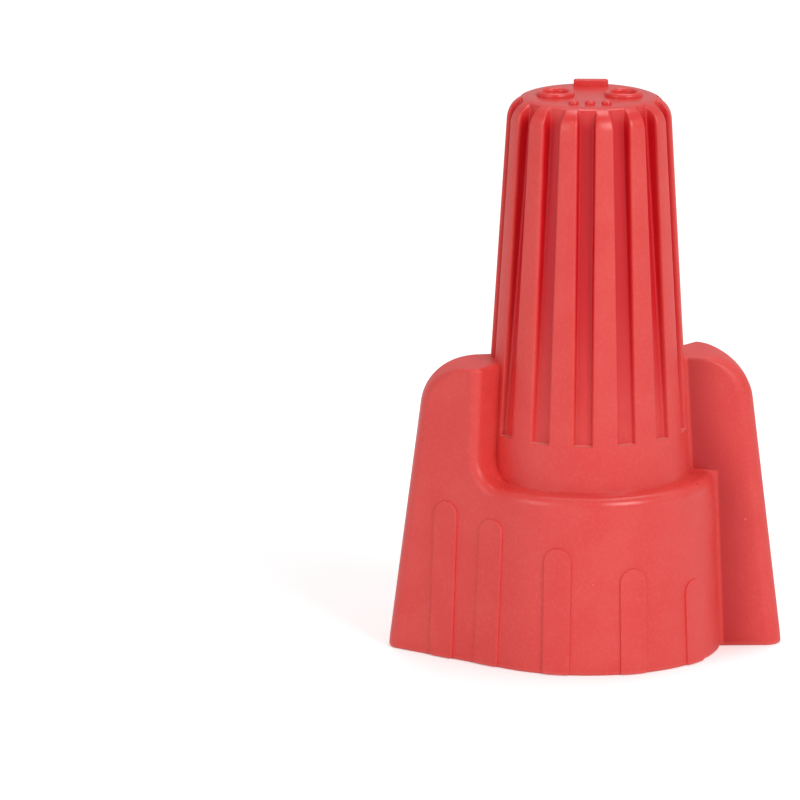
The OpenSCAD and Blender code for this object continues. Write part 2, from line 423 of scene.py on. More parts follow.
@dataclass
class WingedSkirt:
    """The skirt with both wings as one grid whose rows run from the rim up to the wings' tops.

    Each row is a closed line. Half of it runs along a wing's flat face, round the wing's outer
    edge, back along its rear face and round the skirt. The other half is the same, turned by half
    a turn. Above the skirt the inner part of a row lies on a core that the barrel hides.

    Attributes:
        rim_edge: Radius of the rim's outer edge.
        rim_lap: Width of a flat ring under the rim, inside that edge.
        shoulder_edge: Radius of the edge between the skirt and its shoulder.
        core_r: Radius of the core.
        core_step: How far inside the core the closing row lies.
        wing_extra: Added to the wings' reach for what the rounded edges take off it.
        top_edge: Radius of the edge round a wing's top.
        top_gap: Room that the closing row leaves beside the relief's wall.
        rear_foot: A point on the rear face's line, in wing coordinates.
        rear_draft: How much the rear face closes in for each millimetre of height.
        edge_turn: Turn of the outer edge's normal in wing coordinates.
        least_edge_r: Smallest radius that a wing's upright edges shrink to.
        cove_r: Radius of the cove that the relief's edge line climbs.
        cove_start: Where the cove starts along the flat face.
        wall_edge: Radius of the edge along the relief's upright wall.
        margin: Width of the strip of flat face that follows the relief's edge.
        flat_rest: Flat face that is kept between that strip and the outer edge.
        least_room: Smallest share of their radius that the edges shrink to.
        ragged: Depth of the flash's roughness on the rim.
        ragged_h: Height that the roughness reaches.
        start_columns: Columns of a row's first stretch.
        skirt_columns: Columns of a row's round skirt.
    """

    frame: ShellFrame
    rim_edge: float = 0.14
    rim_lap: float = 0.08
    shoulder_edge: float = 0.6
    core_r: float = 4.9
    core_step: float = 0.05
    wing_h: float = 17.1
    wing_corner: float = 2.9
    wing_lean: float = math.radians(7.0)
    wing_extra: float = 0.03
    top_edge: float = 0.26
    top_gap: float = 0.03
    rear_foot: tuple[float, float] = (4.32, 6.55)
    rear_turn: float = math.radians(49.4)
    rear_draft: float = math.tan(math.radians(1.0))
    edge_turn: float = math.radians(48.2)
    front_edge_r: float = 1.15
    rear_edge_r: float = 1.0
    least_edge_r: float = 0.05
    cove_r: float = 1.6
    cove_start: float = 0.9
    wall_edge: float = 0.5
    margin: float = 0.4
    flat_rest: float = 0.15
    least_room: float = 0.05
    ragged: float = 0.035
    ragged_h: float = 0.35
    start_columns: int = 11
    skirt_columns: int = 69

    @property
    def wall_v(self) -> float:
        """Place of the relief's upright wall along the flat face."""
        return self.cove_start + self.cove_r

    @property
    def corner_z(self) -> float:
        """Height of the centre of the wing's upper corner."""
        return self.wing_h - self.wing_corner

    @property
    def edge_way(self) -> Array:
        """Direction square to the wing's outer edge."""
        return np.array([math.cos(self.edge_turn), math.sin(self.edge_turn)])

    @property
    def rear_way(self) -> Array:
        """Direction along the wing's rear face, out to its tip."""
        return np.array([math.cos(self.rear_turn), math.sin(self.rear_turn)])

    def top_inset(self, z: Array) -> Array:
        """Inset of the rounded top edge: a quarter circle over the last part of the height."""
        rise = np.clip(z - (self.wing_h - self.top_edge), 0, self.top_edge)
        return self.top_edge - np.sqrt(self.top_edge**2 - rise**2)

    def reach(self, z: Array) -> Array:
        """Distance of the wing's outer edge: a leaning line, then an arc round the upper corner.

        Args:
            z: Height.

        Returns:
            Distances from the axis, square to the edge.
        """
        lean = math.tan(self.wing_lean)
        outer = self.frame.wing_reach + self.wing_extra
        centre = outer - self.corner_z * lean - self.wing_corner / math.cos(self.wing_lean)
        rise = np.clip(z - self.corner_z, 0, self.wing_corner)
        arc = centre + np.sqrt(self.wing_corner**2 - rise**2)
        start = self.corner_z + self.wing_corner * math.sin(self.wing_lean)
        return np.where(z < start, outer - z * lean, arc)

    def face_end(self, reach: Array, flat_0: Array) -> Array:
        """Where the flat face's line, which is flat_0 + slope v, meets the outer edge's line."""
        c, s = self.edge_way
        return (reach - flat_0 * c) / (s + self.frame.flat_slope * c)

    def rear_line(self, z: Array, inset: Array) -> Array:
        """A point on the rear face's line: its foot, set in by the draft and by the inset."""
        setback = (z * self.rear_draft + inset)[..., None]
        return np.array(self.rear_foot) - quarter_turn(self.rear_way) * setback

    def room(self, z: Array) -> Array:
        """Share of their full radius that the relief's edge and the outer corner have room for.

        Near the wing's top its flat face narrows, and both shrink with what is left of it.

        Args:
            z: Height.

        Returns:
            Shares, at most 1.
        """
        inset = self.top_inset(z)
        face_end = self.face_end(self.reach(z), self.frame.flat_u(0 * z, z) - inset)
        corner = self.front_edge_r * math.tan(self.edge_turn / 2)
        wanted = self.wall_edge + self.margin + corner + self.flat_rest
        return np.clip((face_end - self.wall_v - inset) / wanted, self.least_room, 1)

    def relief(self, across: Array, along: Array) -> tuple[Array, Array, Array]:
        """The rounded edge and the cove that cut the flat face away beside the barrel.

        An edge line runs on the flat face: flat along the shoulder, up a quarter circle, then
        straight up. Across it lie the flat face (across -1 to 0), a quarter round from the face
        over the edge (0 to 1) and a straight run in to the core (1 to 2).

        Args:
            across: Place across the edge line.
            along: Distance along the edge line from the start of its quarter circle.

        Returns:
            u, v and z in the wing's coordinates.
        """
        bend = np.clip(along / self.cove_r, 0, math.pi / 2)
        straight = np.maximum(along - self.cove_r * math.pi / 2, 0)
        edge_v = self.cove_start + self.cove_r * np.sin(bend)
        edge_z = self.frame.skirt_h + self.cove_r * (1 - np.cos(bend)) + straight
        room = self.room(edge_z)
        radius = lerp(self.shoulder_edge, self.wall_edge, smooth_step(2 * bend / math.pi)) * room
        roll = np.clip(across, 0, 1) * math.pi / 2
        off = radius * (1 - np.sin(roll)) + self.margin * room * np.clip(-across, 0, 1)
        v = edge_v + np.sin(bend) * off
        z = edge_z - np.cos(bend) * off
        inset = self.top_inset(z)
        u = self.frame.flat_u(v, z) - radius * (1 - np.cos(roll)) - inset
        core_u = np.sqrt(self.core_r**2 - edge_v**2)
        return lerp(u, core_u, np.clip(across - 1, 0, 1)), v + inset, z

    def rows(self) -> dict[str, Array]:
        """Sets out the rows: rim edge, skirt, shoulder edge, shelf, and up the core.

        Returns:
            Per row, as one column each: across and along (the row's inner end on the relief), out
            (its outer end's distance along the edge line), radius and height of the skirt's line,
            inset of the rim edge, and whether the row lies below the shoulder's edge.
        """
        edge_foot = self.frame.skirt_h - self.shoulder_edge
        bend = np.linspace(0, math.pi / 2, 6)
        rim_z = np.concatenate([[0], self.rim_edge * (1 - np.cos(bend))])
        rim_in = np.concatenate([
            [self.rim_edge + self.rim_lap], self.rim_edge * (1 - np.sin(bend))
        ])
        wall_z = np.linspace(self.rim_edge, edge_foot, 18)[1:-1]
        low_z = np.concatenate([rim_z, wall_z])
        low_in = np.concatenate([rim_in, 0 * wall_z])
        roll = np.linspace(0, 1, 10)
        shelf = np.linspace(1, 2, 6)[1:]

        # Above the shelf the outer ends climb evenly, then as fast as the wing's corner bends.
        corner = np.linspace(self.wing_lean, math.pi / 2, 22)
        corner_along = self.corner_z + self.wing_corner * np.sin(corner)
        lift = self.cove_r * math.pi / 2 - self.frame.skirt_h - self.cove_r
        first_out, shoulder_out, shelf_out, first_share = 0.3, 1.2, 2.2, 0.12
        climb = np.linspace(shelf_out, corner_along[0] + lift, 10)[1:-1]
        core_out = np.concatenate([climb, corner_along + lift])
        core_in = core_out * np.concatenate([
            np.linspace(first_share, 1, len(climb)), np.ones(len(corner_along))
        ])
        n_low, n_core = len(low_z), len(core_out)
        across = np.concatenate([np.zeros(n_low), roll, shelf, np.full(n_core, 2.0)])
        along = np.concatenate([np.zeros(n_low + len(roll) + len(shelf)), core_in])
        out = np.concatenate([
            np.full(n_low, first_out),
            np.linspace(first_out, shoulder_out, len(roll)),
            np.linspace(shoulder_out, shelf_out, len(shelf) + 1)[1:],
            core_out,
        ])
        turned = np.clip(across, 0, 1) * math.pi / 2
        height = edge_foot + self.shoulder_edge * np.sin(turned)
        radius = self.frame.skirt_radius(edge_foot) - self.shoulder_edge * (1 - np.cos(turned))
        radius = lerp(radius, self.core_r, np.clip(across - 1, 0, 1))
        height = np.where(across == 2, self.relief(across, along)[2], height)
        height[:n_low] = low_z
        radius[:n_low] = self.frame.skirt_radius(low_z) - low_in
        inset = np.concatenate([low_in, np.zeros(len(across) - n_low)])
        rows = {"across": across, "along": along, "out": out, "radius": radius,
                "height": height, "inset": inset, "low": np.arange(len(across)) < n_low}
        return {name: value[:, None] for name, value in rows.items()}

    def outer_height(self, rows: dict[str, Array]) -> Array:
        """Height of each row's outer part.

        It is the height of the row's end on the edge line. Below the shoulder's edge it is scaled
        down with the row's own height.

        Args:
            rows: The rows.

        Returns:
            Heights, one per row.
        """
        end_z = self.relief(np.full_like(rows["out"], -1.0), rows["out"])[2]
        scale = rows["height"] / (self.frame.skirt_h - self.shoulder_edge)
        return np.where(rows["low"], end_z * scale, end_z)

    def start_part(self, rows: dict[str, Array]) -> Array:
        """The first stretch: along the flat face to the relief, or at even turns on the core.

        Args:
            rows: The rows.

        Returns:
            Points in wing coordinates, rows by columns by 3.
        """
        share = np.linspace(0, 1, self.start_columns)[None, :]
        v = share * self.cove_start
        roll = np.clip(rows["across"], 0, 1) * math.pi / 2
        u = self.frame.flat_u(v, rows["height"]) - rows["inset"]
        u = u - self.shoulder_edge * (1 - np.cos(roll))
        u = lerp(u, np.sqrt(self.core_r**2 - v**2), np.clip(rows["across"] - 1, 0, 1))
        on_core = (rows["across"] == 2) & (rows["along"] > 0)
        turn = share * np.arcsin(self.relief(rows["across"], rows["along"])[1] / self.core_r)
        u = np.where(on_core, self.core_r * np.cos(turn), u)
        v = np.where(on_core, self.core_r * np.sin(turn), v)
        return stretch(u, v, rows["height"])

    def relief_part(self, rows: dict[str, Array], z_out: Array) -> Array:
        """The stretch over the relief, whose points lie evenly in the relief's own coordinates.

        Below the shoulder's edge it is a stretch of the flat face.

        Args:
            rows: The rows.
            z_out: Height of each row's outer part.

        Returns:
            Points in wing coordinates, rows by columns by 3.
        """
        share = np.linspace(0, 1, 19)[None, 1:]
        above = self.relief(
            lerp(rows["across"], -1.0, share), lerp(rows["along"], rows["out"], share)
        )
        end_v = self.relief(np.full_like(rows["out"], -1.0), rows["out"])[1]
        v = lerp(self.cove_start, end_v, share)
        z = lerp(rows["height"], z_out, share)
        below = (self.frame.flat_u(v, z) - rows["inset"], v, z)
        return stretch(*(np.where(rows["low"], b, a) for a, b in zip(above, below, strict=True)))

    def edge_part(self, rows: dict[str, Array], z_out: Array, v_start: Array) -> Array:
        """The rest of the flat face and the outer edge: three lines with arcs where they meet.

        Args:
            rows: The rows.
            z_out: Height of each row's outer part.
            v_start: Where the flat face's last stretch starts.

        Returns:
            u and v of the points, rows by columns by 2.
        """
        slope, edge_way, rear_way = self.frame.flat_slope, self.edge_way, self.rear_way
        face_way = np.array([slope, 1.0]) / math.hypot(slope, 1)
        side_way = quarter_turn(edge_way)
        inset = rows["inset"] + self.top_inset(z_out)
        reach = self.reach(z_out) - rows["inset"]
        flat_0 = self.frame.flat_u(0 * z_out, z_out) - inset
        v_end = self.face_end(reach, flat_0)
        front = np.stack([flat_0 + slope * v_end, v_end], axis=-1)
        rear_0 = self.rear_line(z_out, inset)
        run = (reach - rear_0 @ edge_way) / (rear_way @ edge_way)
        rear = rear_0 + rear_way * run[..., None]
        front_r = np.maximum(self.front_edge_r * self.room(z_out) - inset, self.least_edge_r)
        rear_r = np.maximum(self.rear_edge_r - inset, self.least_edge_r)
        front_arc = self.corner_arc(front, face_way, side_way, front_r[..., None], 10)
        rear_arc = self.corner_arc(rear, side_way, -rear_way, rear_r[..., None], 12)
        middle = np.linspace(0, 1, 5)[None, 1:-1, None]
        side = lerp(front_arc[:, -1:], rear_arc[:, :1], middle)
        v = lerp(v_start, front_arc[:, :1, 1], np.linspace(0, 1, 17)[None, 1:-1])
        face = np.stack([self.frame.flat_u(v, z_out) - inset, v], axis=-1)
        return np.concatenate([face, front_arc, side, rear_arc], axis=1)

    def rear_part(self, rows: dict[str, Array], z_out: Array, start: Array) -> Array:
        """The rear face, in to its seam with the skirt or the core, and that circle beyond it.

        The seam is where the rear face's line meets the circle: the root of a quadratic equation.

        Args:
            rows: The rows.
            z_out: Height of each row's outer part.
            start: u and v where the outer edge ends.

        Returns:
            Points in wing coordinates, rows by columns by 3.
        """
        radius, height = rows["radius"], rows["height"]
        foot = self.rear_line(height, rows["inset"])
        half_b = foot @ self.rear_way
        gap = (foot**2).sum(-1) - radius**2
        seam = foot + self.rear_way * (np.sqrt(half_b**2 - gap) - half_b)[..., None]
        share = np.linspace(0, 1, 25)[None, 1:]
        face = lerp(start, seam, share[..., None])
        face = stretch(face[..., 0], face[..., 1], lerp(z_out, height, share))
        round_share = np.linspace(0, 1, self.skirt_columns + 2)[None, 1:-1]
        turn = lerp(np.arctan2(seam[..., 1], seam[..., 0]), math.pi, round_share)
        skirt = stretch(radius * np.cos(turn), radius * np.sin(turn), height)
        return np.concatenate([face, skirt], axis=1)

    def half_rows(self) -> Array:
        """Puts one half of every row together from its stretches.

        Returns:
            Points, rows by columns by 3.
        """
        rows = self.rows()
        z_out = self.outer_height(rows)
        relief = self.relief_part(rows, z_out)
        edge = self.edge_part(rows, z_out, relief[:, -1:, 1])
        points = np.concatenate([
            self.start_part(rows),
            relief,
            stretch(edge[..., 0], edge[..., 1], z_out),
            self.rear_part(rows, z_out, edge[:, -1:]),
        ], axis=1)
        return self.frame.world(points[..., 0], points[..., 1], points[..., 2])

    def closing_row(self, columns: int) -> Array:
        """The row that closes the wing's top: it lies on the core, at even turns along each part.

        Args:
            columns: Number of columns in half a row.

        Returns:
            One row of points.
        """
        radius = self.core_r - self.core_step
        wall = math.asin(self.wall_v / self.core_r)
        wall_top = math.asin((self.wall_v + self.top_edge + self.top_gap) / radius)
        foot, rear_way = np.array(self.rear_foot), self.rear_way
        along = float(foot @ rear_way)
        seam = foot + rear_way * (math.sqrt(along**2 - foot @ foot + self.core_r**2) - along)
        behind = math.atan2(seam[1], seam[0])
        turn = np.concatenate([
            np.linspace(0, wall, self.start_columns),
            np.linspace(wall_top, behind, columns - self.start_columns - self.skirt_columns),
            np.linspace(behind, math.pi, self.skirt_columns + 2)[1:-1],
        ])
        return self.frame.world(radius * np.cos(turn), radius * np.sin(turn), self.wing_h)[None]

    @staticmethod
    def corner_arc(corner: Array, into: Array, away: Array, radius: Array, steps: int) -> Array:
        """An arc that touches the line into a corner and the line away from it.

        Args:
            corner: Corner points, one per row.
            into: Direction of the line that comes in.
            away: Direction of the line that goes out.
            radius: Radius of the arc, one per row.
            steps: Number of steps.

        Returns:
            Points of the arc, rows by steps + 1 by 2.
        """
        turn = math.acos(float(into @ away))
        inward = quarter_turn(into)
        centre = corner - into * radius * math.tan(turn / 2) + inward * radius
        bend = np.linspace(0, turn, steps + 1)[None, :, None]
        return centre + radius * (np.sin(bend) * into - np.cos(bend) * inward)

    def surface(self) -> Surface:
        """Joins both halves, roughens the rim a little as flash does, and closes the grid.

        Returns:
            The closed skirt with its wings.
        """
        half = self.half_rows()
        half = np.concatenate([half, self.closing_row(half.shape[1])], axis=0)
        grid = np.concatenate([half, half * HALF_TURN], axis=1)
        noise = np.random.default_rng(7).random(grid.shape[1])
        noise = (noise + np.roll(noise, 1) + np.roll(noise, 2)) / 3
        fade = np.clip(1 - grid[..., 2] / self.ragged_h, 0, 1)
        grid[..., :2] *= (1 - self.ragged * fade * noise / self.frame.skirt_r)[..., None]
        return capped_grid(grid, (0, 0, 0), (0, 0, self.wing_h))


@dataclass
class FlutedBarrel:
    """The tapered barrel with its smooth band, its flutes and its rounded tip.

    Attributes:
        flutes: Number of flutes.
        first_turn: Polar angle of the first flute's middle.
        width: Width of a flute.
        draft: How much each wall of a flute closes in for each millimetre of depth.
        lip: Radius of the ribs' edges.
        floor_round: Radius between a flute's wall and its floor.
        floor_rest: Width of a narrow strip of floor beside that radius.
        full_depth: Depth at which both radii reach their full size.
        least_share: Smallest share of their full size.
        least_r: Smallest radius at which a width is turned into an angle.
        ledge_half: Half the height of the step where the flutes start.
        tip_edge: Radius of the tip's edge.
        foot_z: Height of the barrel's hidden foot.
        foot_cove: Radius of the cove between the barrel and the shoulder.
    """

    frame: ShellFrame
    flutes: int = 14
    first_turn: float = math.radians(-93)
    width: float = 1.04
    draft: float = 0.09
    lip: float = 0.13
    floor_round: float = 0.14
    floor_rest: float = 0.12
    full_depth: float = 0.3
    least_share: float = 0.02
    least_r: float = 1.2
    ledge_half: float = 0.012
    tip_edge: float = 1.4
    foot_z: float = 9.4
    foot_cove: float = 0.03

    def profile(self) -> tuple[Array, Array, Array]:
        """Sets out the rows: foot, band, ledge, fluted length and the rounded tip edge.

        Returns:
            Height, radius of the ribs and depth of the flutes for each row.
        """
        f = self.frame
        edge_z = f.overall_h - self.tip_edge
        cove_turn, band_foot, below_ledge, above_ledge = 1.5, 0.5, 0.06, 0.05
        band = np.concatenate([
            [self.foot_z],
            f.skirt_h + self.foot_cove * (1 - np.cos(np.linspace(0, cove_turn, 6))),
            np.linspace(f.skirt_h + band_foot, f.flute_start - below_ledge, 7),
            [f.flute_start - self.ledge_half],
        ])
        fluted = np.concatenate([
            [f.flute_start + self.ledge_half, f.flute_start + above_ledge],
            np.linspace(f.flute_start, edge_z, 30)[1:],
        ])
        lean = math.atan(f.barrel_slope)
        bend = np.linspace(lean, math.pi / 2, 19)[1:]
        dome = edge_z + self.tip_edge * np.sin(bend)
        z = np.concatenate([band, fluted, dome, [f.overall_h, f.overall_h]])
        edge_r = float(f.barrel_radius(edge_z)) - self.tip_edge
        flat_rings = [edge_r - 0.12, edge_r - 0.4]
        radius = np.concatenate([
            f.barrel_radius(np.concatenate([band, fluted])),
            edge_r + self.tip_edge * np.cos(bend),
            flat_rings,
        ])
        rise = np.clip(self.foot_cove - (z - f.skirt_h), 0, self.foot_cove)
        radius += self.foot_cove - np.sqrt(self.foot_cove**2 - rise**2)
        depth = np.where(z > f.flute_start, radius - f.flute_floor(z), 0)
        return z, radius, np.maximum(depth, 0)

    def surface(self) -> Surface:
        """Makes the grid of every row's ribs and flutes.

        Across a flute lie half a rib, a rounded lip, the drafted wall, a rounded foot and the
        floor, and then the same mirrored about the flute's middle.

        Returns:
            The closed barrel.
        """
        z, radius, depth = (a[:, None] for a in self.profile())
        scale = np.clip(depth / self.full_depth, self.least_share, 1)
        lip, foot = self.lip * scale, self.floor_round * scale
        half_w = self.width / 2
        bend = np.linspace(0, math.pi / 2, 5)[None, :]
        lip_y = half_w + lip * (1 - np.sin(bend))
        lip_d = lip * (1 - np.cos(bend)) * (depth > 0)
        low_y = half_w - self.draft * depth
        foot_y = low_y - foot * (1 - np.cos(bend))
        foot_d = depth - foot * (1 - np.sin(bend)) * (depth > 0)
        foot_d = np.maximum(foot_d, lip_d[:, -1:])
        y = np.concatenate([lip_y, foot_y, low_y - foot - self.floor_rest, 0 * depth], axis=1)
        d = np.concatenate([lip_d, foot_d, depth, depth], axis=1)
        pitch = TURN / self.flutes
        turn = np.arcsin(y / np.maximum(radius - d, self.least_r))
        rib = lerp(pitch / 2, turn[:, :1], np.linspace(0, 1, 5)[None, :-1])
        turn = np.concatenate([rib, turn], axis=1)
        d = np.concatenate([0 * rib, d], axis=1)
        turn = np.concatenate([turn, -turn[:, -2:0:-1]], axis=1)
        d = np.concatenate([d, d[:, -2:0:-1]], axis=1)
        place = self.first_turn + np.arange(self.flutes) * pitch
        angle = (place[None, :, None] - turn[:, None, :]).reshape(len(z), -1)
        r = np.tile(radius - d, (1, self.flutes))
        grid = np.stack([r * np.cos(angle), r * np.sin(angle), z + 0 * r], axis=-1)
        return capped_grid(grid, (0, 0, self.foot_z), (0, 0, self.frame.overall_h))


@dataclass
class SkirtPads:
    """Low upright pads round the skirt and one on each wing's flat face.

    Attributes:
        width: Width of a pad.
        lift: How far it stands off the skirt.
        edge: Radius of its edge.
        sink: Depth of its base under the skirt's surface.
        foot: Height of its lower end.
        foot_corner: Radius of its two lower corners.
        notch_turn: Polar angle in wing coordinates from which the turns are counted.
        turns: Turn of each pad on the skirt, in degrees.
        first_h: Height of the first of them.
        step_h: What each next one adds.
        flat_v: Place of the pad on the flat face.
        flat_h: Height of that pad.
    """

    frame: ShellFrame
    width: float = 1.6
    lift: float = 0.12
    edge: float = 0.06
    sink: float = 0.35
    foot: float = 0.03
    foot_corner: float = 0.12
    notch_turn: float = math.radians(58.3)
    turns: tuple[float, ...] = (30.5, 63.8, 97.1, 130.4)
    first_h: float = 4.95
    step_h: float = 1.22
    flat_v: float = 4.4
    flat_h: float = 9.2

    def outline(self, height: float) -> Array:
        """An upright slot with a round top and small corners at its foot.

        Args:
            height: Height of its top.

        Returns:
            Points of the outline.
        """
        half = self.width / 2
        corners = np.array([[-half, self.foot], [half, self.foot], [half, height], [-half, height]])
        top = half - 0.01
        radii = np.array([self.foot_corner, self.foot_corner, top, top])
        return evenly(rounded_path(corners, radii, 16, True), 96)

    def on_skirt(self, middle: float) -> Callable[[Array, Array], Array]:
        """Wraps plane points round the skirt, and along the next wing's flat face beyond it.

        Args:
            middle: Polar angle of the pad's middle in the wing's coordinates.

        Returns:
            A function from plane points and heights to 3-D points.
        """

        def place(plane: Array, height: Array) -> Array:
            """Polar angle = middle + side / radius. Past half a turn the flat face takes over.

            Args:
                plane: Points in the pad's plane.
                height: Their heights over the skirt.

            Returns:
                The points.
            """
            z = plane[..., 1]
            radius = self.frame.skirt_radius(z)
            turn = middle + plane[..., 0] / radius
            past = np.maximum(turn - math.pi, 0)
            far = radius / np.cos(past) + height
            return self.frame.world(far * np.cos(turn), far * np.sin(turn), z)

        return place

    def on_flat(self, plane: Array, height: Array) -> Array:
        """Lays plane points on the wing's flat face."""
        z, v = plane[..., 1], self.flat_v + plane[..., 0]
        return self.frame.world(self.frame.flat_u(v, z) + height, v, z)

    def surfaces(self) -> list[Surface]:
        """Builds the pads of one half, then the same turned by half a turn.

        Returns:
            The ten pads.
        """
        pads = [
            boss(self.outline(self.first_h + i * self.step_h), self.lift, self.edge, self.sink,
                 self.on_skirt(self.notch_turn + math.radians(turn)))
            for i, turn in enumerate(self.turns)
        ]
        pads.append(boss(self.outline(self.flat_h), self.lift, self.edge, self.sink, self.on_flat))
        return pads + [Surface(p.verts * HALF_TURN, p.quads, p.tris) for p in pads]


@dataclass
class TipMarks:
    """Plain raised marks on the tip: two rings, a bar and three studs."""

    frame: ShellFrame
    ring_r: float = 1.1
    ring_w: float = 0.35
    ring_x: float = 1.95
    bar: tuple[float, float] = (2.0, 0.5)
    bar_edge: float = 0.1
    bar_corner: float = 0.2
    bar_x: float = 0.12
    bar_y: float = 2.7
    ring_lift: float = 0.26
    stud_lift: float = 0.22
    stud_r: float = 0.3
    stud_gap: float = 0.95
    stud_y: float = -2.5
    edge: float = 0.16
    foot_edge: float = 0.02
    sink: float = 0.3

    def at(self, x: float, y: float) -> Callable[[Array, Array], Array]:
        """Lays plane points flat on the tip about a point.

        Args:
            x: Place of the point.
            y: Place of the point.

        Returns:
            A function from plane points and heights to 3-D points.
        """

        def place(plane: Array, height: Array) -> Array:
            """x and y are shifted, and z is the tip's height plus the height over it."""
            return np.stack(
                [plane[..., 0] + x, plane[..., 1] + y, self.frame.overall_h + height], axis=-1
            )

        return place

    def ring(self, x: float) -> Surface:
        """A ring: a rounded rectangle carried round an upright axis.

        Args:
            x: Place of the axis.

        Returns:
            The closed ring.
        """
        low, high = self.frame.overall_h - self.sink, self.frame.overall_h + self.ring_lift
        inner = self.ring_r - self.ring_w
        section = rounded_path(
            np.array([[inner, low], [self.ring_r, low], [self.ring_r, high], [inner, high]]),
            np.array([self.foot_edge, self.foot_edge, self.edge, self.edge]), 4, True,
        )
        grid = revolve(section, 56) + np.array([x, 0, 0])
        faces = band_faces(grid.shape[0], grid.shape[1], True)
        return Surface(grid.reshape(-1, 3), faces).outward()

    def surfaces(self) -> list[Surface]:
        """Builds every mark.

        Returns:
            The rings, the bar and the studs.
        """
        half_x, half_y = self.bar[0] / 2, self.bar[1] / 2
        bar = np.array([[-half_x, -half_y], [half_x, -half_y], [half_x, half_y], [-half_x, half_y]])
        bar = evenly(rounded_path(bar, np.full(4, self.bar_corner), 6, True), 60)
        steps = 32
        angle = np.arange(steps) * TURN / steps
        stud = self.stud_r * np.stack([np.cos(angle), np.sin(angle)], axis=1)
        marks = [self.ring(-self.ring_x), self.ring(self.ring_x)]
        marks.append(boss(bar, self.frame.mark_lift, self.bar_edge, self.sink,
                          self.at(self.bar_x, self.bar_y)))
        marks += [
            boss(stud, self.stud_lift, self.edge, self.sink,
                 self.at(i * self.stud_gap, self.stud_y))
            for i in (-1, 0, 1)
        ]
        return marks


@dataclass
class Cavity:
    """The hollow: a smooth lead-in, saw-tooth jacket ridges, a funnel, throat rings, a chamber.

    Attributes:
        mouth_flare: Width and height of the bevel at the mouth.
        below: How far the cutting solid reaches under the mouth.
        lead_h: Height of the smooth lead-in.
        ridge_face: Height that a ridge's steep face takes.
        throat_face: Height that a throat ring's steep face takes.
        step: Height that the steps under the funnel and the chamber take.
        seat_edge: Radius where the chamber's wall starts to taper.
        chamber_edge: Radius at the chamber's far end.
        middle_r: Radius of the last ring on that end.
    """

    frame: ShellFrame
    mouth_r: float = 6.55
    mouth_flare: float = 0.16
    below: float = 1.0
    lead_h: float = 1.75
    ridges: int = 7
    ridge_pitch: float = 0.95
    ridge_lift: float = 0.18
    ridge_edge: float = 0.045
    ridge_face: float = 0.04
    throat_r: float = 4.846
    throat_z: float = 10.6
    throat_rings: int = 3
    throat_pitch: float = 0.5
    throat_lift: float = 0.12
    throat_face: float = 0.03
    step: float = 0.05
    seat_edge: float = 0.3
    chamber_edge: float = 0.6
    middle_r: float = 0.5

    def bore(self, z: Array) -> Array:
        """Radius at the ridges' crests: the lead-in's, less the taper and the ridges' lift."""
        return self.mouth_r - (z - self.lead_h) * self.frame.skirt_slope - self.ridge_lift

    def profile(self) -> Array:
        """The hollow's outline from the mouth up, with each corner rounded.

        Returns:
            Points of (radius, height).
        """
        f = self.frame
        starts = self.lead_h + self.ridge_pitch * np.arange(self.ridges)
        ends = starts + self.ridge_pitch
        ridges = np.stack([
            np.stack([self.bore(starts), starts + self.ridge_face], axis=1),
            np.stack([self.bore(ends) + self.ridge_lift, ends], axis=1),
        ], axis=1).reshape(-1, 2)
        rings_z = self.throat_z + self.throat_pitch * np.arange(self.throat_rings)
        rings = np.stack([
            np.stack([0 * rings_z + self.throat_r - self.throat_lift,
                      rings_z + self.throat_face], axis=1),
            np.stack([0 * rings_z + self.throat_r, rings_z + self.throat_pitch], axis=1),
        ], axis=1).reshape(-1, 2)
        throat_top = self.throat_z + self.throat_rings * self.throat_pitch
        chamber_top = f.overall_h - f.tip_wall
        low_r = float(f.chamber_radius(f.flute_start))
        flared = self.mouth_r + self.mouth_flare
        lead = [[flared, -self.below], [flared, 0.0],
                [self.mouth_r, self.mouth_flare], [self.mouth_r, self.lead_h]]
        funnel = [[float(self.bore(ends[-1])), float(ends[-1]) + self.step],
                  [self.throat_r, self.throat_z]]
        chamber = [[low_r, throat_top + self.step], [low_r, f.flute_start],
                   [float(f.chamber_radius(chamber_top)), chamber_top],
                   [self.middle_r, chamber_top]]
        points = np.concatenate([lead, ridges, funnel, rings, chamber])

        # One radius for each corner, and none at the path's two ends.
        at_end, mouth_edge, flare_edge, throat_edge = 0.0, 0.02, 0.1, 0.04
        radii = np.concatenate([
            [at_end, mouth_edge, flare_edge, self.ridge_edge],
            np.full(len(ridges) + len(funnel) + len(rings), self.ridge_edge),
            [throat_edge, self.seat_edge, self.chamber_edge, at_end],
        ])
        return rounded_path(points, radii, 4, False)

    def surface(self) -> Surface:
        """Carries the profile round the axis and closes it at both ends.

        Returns:
            The closed hollow.
        """
        profile = self.profile()
        grid = revolve(profile, 200)
        return capped_grid(grid, (0, 0, profile[0, 1]), (0, 0, profile[-1, 1]))


# --- Spring -----------------------------------------------------------------------------------


